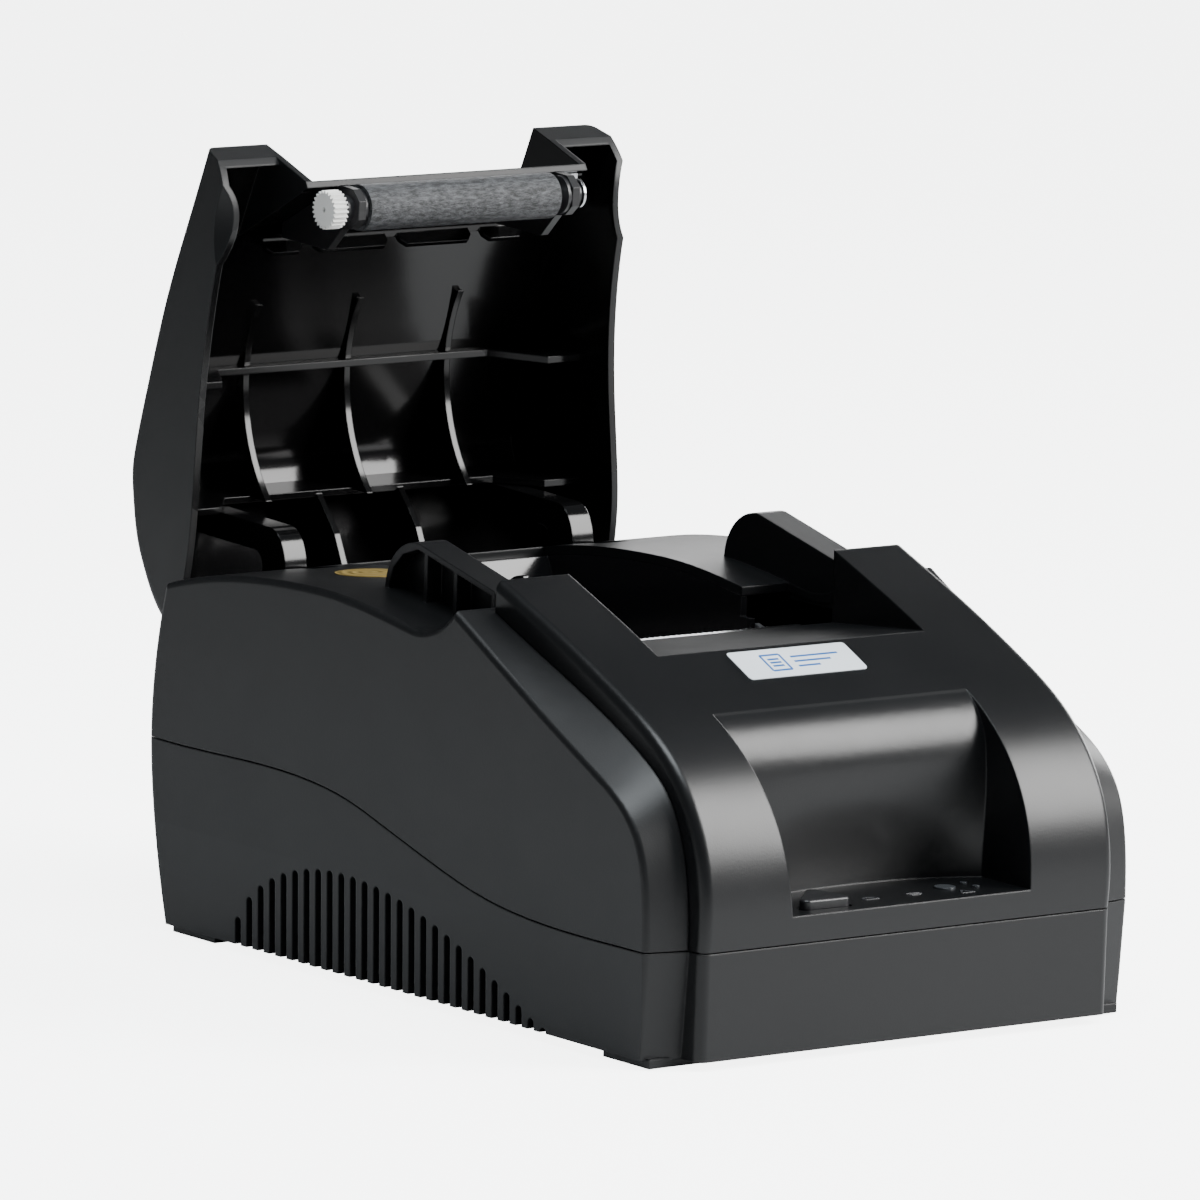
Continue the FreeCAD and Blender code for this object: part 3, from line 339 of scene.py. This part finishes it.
def paint_plastics():
    for name, (look, nodes) in PLASTICS.items():
        use(moulded(name, *look), nodes)


def paint_panel():
    """The front is satin, with a flatter tool texture in the valley behind the badge."""
    colour = (0.005, 0.0053, 0.006)
    level_normal = 0.97
    valley_above = 74 * MM
    satin = moulded("panel_plastic", colour, 0.31, 0.4, 0.3, 0.6, 0.4)
    flat = moulded("panel_valley", colour, 0.6, 0.4, 0.5, 0.6, 0.12)

    def pick(polygon):
        return int(polygon.normal.z > level_normal and polygon.center.z > valley_above)

    use_by_face("front_panel", (satin, flat), pick)


def paint_lid():
    """The lid is textured outside and polished inside, and its ribs and arms are polished."""
    outside = moulded("lid_outside", (0.006, 0.0063, 0.007), 0.42, 0.35, 0.35, 0.5, 0.36)
    inside = moulded("lid_inside", (0.003, 0.003, 0.0032), 0.13, 0.9, 0.06, 0.35, 0.36)
    ahead_of_front = 12 * MM
    low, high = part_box("lid_shell")
    middle = Vector(((low.x + high.x) / 2, low.y + ahead_of_front, (low.z + high.z) / 2))

    def pick(polygon):
        faces_out = (polygon.center - middle).dot(polygon.normal) > 0
        return 0 if faces_out else 1

    use_by_face("lid_shell", (outside, inside), pick)
    use(inside, ("lid_ribs", "lid_arms"))


# ---------------------------------------------------------------- metals, rubber and foil

# name: (colour, roughness, axis of the drawn lines or None for a mottle), nodes
METALS = {
    "sheet_steel": (
        ((0.52, 0.53, 0.55), 0.34, None),
        ("mechanism_frame", "hinge_brackets", "platen_bracket"),
    ),
    "ground_steel": (
        ((0.6, 0.61, 0.63), 0.22, 0),
        ("gear_post", "hinge_pins", "head_pivot_pin", "platen_shaft", "platen_clip",
         "motor_shaft", "switch_pin", "tear_blade", "head_springs", "jack_pin"),
    ),
    "screw_steel": (
        ((0.42, 0.42, 0.43), 0.3, None),
        ("case_screws", "mechanism_screws"),
    ),
    "motor_can": (
        ((0.4, 0.41, 0.42), 0.3, 0),
        ("feed_motor",),
    ),
    "cast_aluminium": (
        ((0.62, 0.63, 0.65), 0.4, None),
        ("head_heatsink",),
    ),
}


def metal(name, colour, rough, drawn_axis):
    """Bare metal with fine drawn lines or a soft mottle."""
    across_lines, along_lines = 900.0, 14.0
    smoothest, roughest = rough * 0.75, rough * 1.35
    edge = 0.2 * MM
    material, tree, shader = new_material(name)
    scale = [across_lines] * 3
    if drawn_axis is not None:
        scale[drawn_axis] = along_lines
    stretch = stretched(tree, Scale=scale)
    lines = add(tree, "ShaderNodeTexNoise", Scale=1.6, Detail=3.0)
    link(tree, stretch, "Vector", lines, "Vector")
    gloss = spread(tree, lines, smoothest, roughest)
    link(tree, gloss, 0, shader, "Roughness")
    soft_bump(tree, shader, lines, 0.12, 0.02 * MM, edge)
    set_inputs(shader, Base_Color=(*colour, 1), Metallic=1.0)
    return material


def paint_metals():
    for name, (look, nodes) in METALS.items():
        use(metal(name, *look), nodes)


def platen_rubber():
    """Ground rubber: fine scratches along the roller, broken up by bright and dark specks."""
    dark, bright = (0.012, 0.0125, 0.0135), (0.12, 0.124, 0.132)
    material, tree, shader = new_material("platen_rubber_ground")
    stretch = stretched(tree, Scale=(420.0, 1300.0, 1300.0))
    lines = add(tree, "ShaderNodeTexNoise", Scale=1.0, Detail=5.0, Roughness=0.75)
    link(tree, stretch, "Vector", lines, "Vector")
    specks = add(tree, "ShaderNodeMapRange", From_Min=0.4, From_Max=0.68, To_Min=0.0, To_Max=1.0)
    link(tree, lines, 0, specks, "Value")
    blend(tree, shader, specks, dark, bright)
    soft_bump(tree, shader, lines, 1.0, 0.35 * MM)
    set_inputs(shader, Roughness=0.5, Specular_IOR_Level=0.5)
    return material


def gold_foil():
    """Metallised foil with pressed rings around its middle."""
    material, tree, shader = new_material("gold_foil_pressed")
    low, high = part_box("foil_seal")
    middle = (low + high) / 2
    shift = stretched(tree, Location=(-middle.x, -middle.y, 0), Scale=(1, 1, 0))
    rings = add(tree, "ShaderNodeTexWave", Scale=130.0, Distortion=3.0, Detail=3.0)
    rings.wave_type = "RINGS"
    rings.rings_direction = "SPHERICAL"
    link(tree, shift, "Vector", rings, "Vector")
    soft_bump(tree, shader, rings, 1.0, 0.3 * MM)
    set_inputs(shader, Base_Color=(0.86, 0.62, 0.2, 1), Metallic=0.85, Roughness=0.36)
    return material


# ---------------------------------------------------------------- small printed and moulded marks


def height_at(node, x, y):
    """How high a CAD node's top surface is at a place, in metres."""
    above_everything = 0.2
    piece = NODES[node]
    back = piece.matrix_world.inverted()
    start = back @ Vector((x, y, above_everything))
    aim = (back.to_3x3() @ Vector((0, 0, -1))).normalized()
    hit, place, _, _ = piece.ray_cast(start, aim)
    if not hit:
        raise RuntimeError(f"nothing of {node} is under {x:.4f}, {y:.4f}")
    return (piece.matrix_world @ place).z


def bar(bm, node, start, end, width, lift):
    """One raised stroke from start to end, in mm, laid on a CAD node."""
    sink = 0.05
    a = Vector((*start, 0))
    b = Vector((*end, 0))
    side = (b - a).normalized().cross(Vector((0, 0, 1))) * width / 2
    top, low = [], []
    for corner in (a - side, a + side, b + side, b - side):
        x, y = corner.x * MM, corner.y * MM
        z = height_at(node, x, y)
        top.append(bm.verts.new((x, y, z + lift * MM)))
        low.append(bm.verts.new((x, y, z - sink * MM)))
    bm.faces.new(top)
    for k in range(4):
        bm.faces.new((top[k], low[k], low[(k + 1) % 4], top[(k + 1) % 4]))


def mark(name, node, strokes, width, lift, material):
    """A flat sign made of strokes, which rides with the case."""
    bm = bmesh.new()
    for start, end in strokes:
        bar(bm, node, start, end, width, lift)
    bmesh.ops.recalc_face_normals(bm, faces=bm.faces)
    mesh = bpy.data.meshes.new(name)
    bm.to_mesh(mesh)
    bm.free()
    mesh.materials.append(material)
    made = bpy.data.objects.new(name, mesh)
    bpy.context.scene.collection.objects.link(made)
    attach(made, "case")


def closed(points):
    """The strokes around a closed outline."""
    return list(zip(points, points[1:] + points[:1]))


def level_strokes(left, top, spacing, lengths):
    """Level strokes that start on one left edge, one below the other."""
    strokes = []
    for k, length in enumerate(lengths):
        y = top - spacing * k
        strokes.append(((left, y), (left + length, y)))
    return strokes


def make_badge_sign():
    """A plain sign printed on the badge: a lined sheet with three strokes beside it."""
    ink = moulded("badge_ink", (0.02, 0.13, 0.42), 0.4, 0.2, 0.05, 0.1, 0.4)
    x, y = -9.2, -56.8
    half = 2.6
    sheet = closed([
        (x - half, y + half), (x + half, y + half), (x + half, y - half), (x - half, y - half),
    ])
    lines = level_strokes(x - 1.5, y + 1.1, 1.1, (3, 3, 3))
    rows = level_strokes(x + 5, y + 1.4, 1.6, (13, 10, 6))
    mark("badge_sign", "badge_label", sheet + lines + rows, 0.55, 0.03, ink)


def make_scoop_signs():
    """Three small moulded signs in the scoop: a drop, a paper strip and a triangle."""
    raised = moulded("raised_sign", (0.05, 0.052, 0.056), 0.22, 0.4, 0.05, 0.1, 0.6)
    drop = closed([(-6.6, -86.0), (-4.8, -85.2), (-3.0, -86.0), (-3.0, -87.4), (-6.6, -87.4)])
    strip = level_strokes(5.6, -86.0, 1.0, (3.6, 3.6, 2.4))
    triangle = closed([(17.2, -91.0), (20.8, -91.0), (19.0, -88.4)])
    mark("scoop_signs", "front_panel", drop + strip + triangle, 0.4, 0.12, raised)


make_camera()
make_floor()
make_lights()
paint_plastics()
paint_panel()
paint_lid()
paint_metals()
use(platen_rubber(), ("platen_rubber",))
use(gold_foil(), ("foil_seal",))
make_badge_sign()
make_scoop_signs()
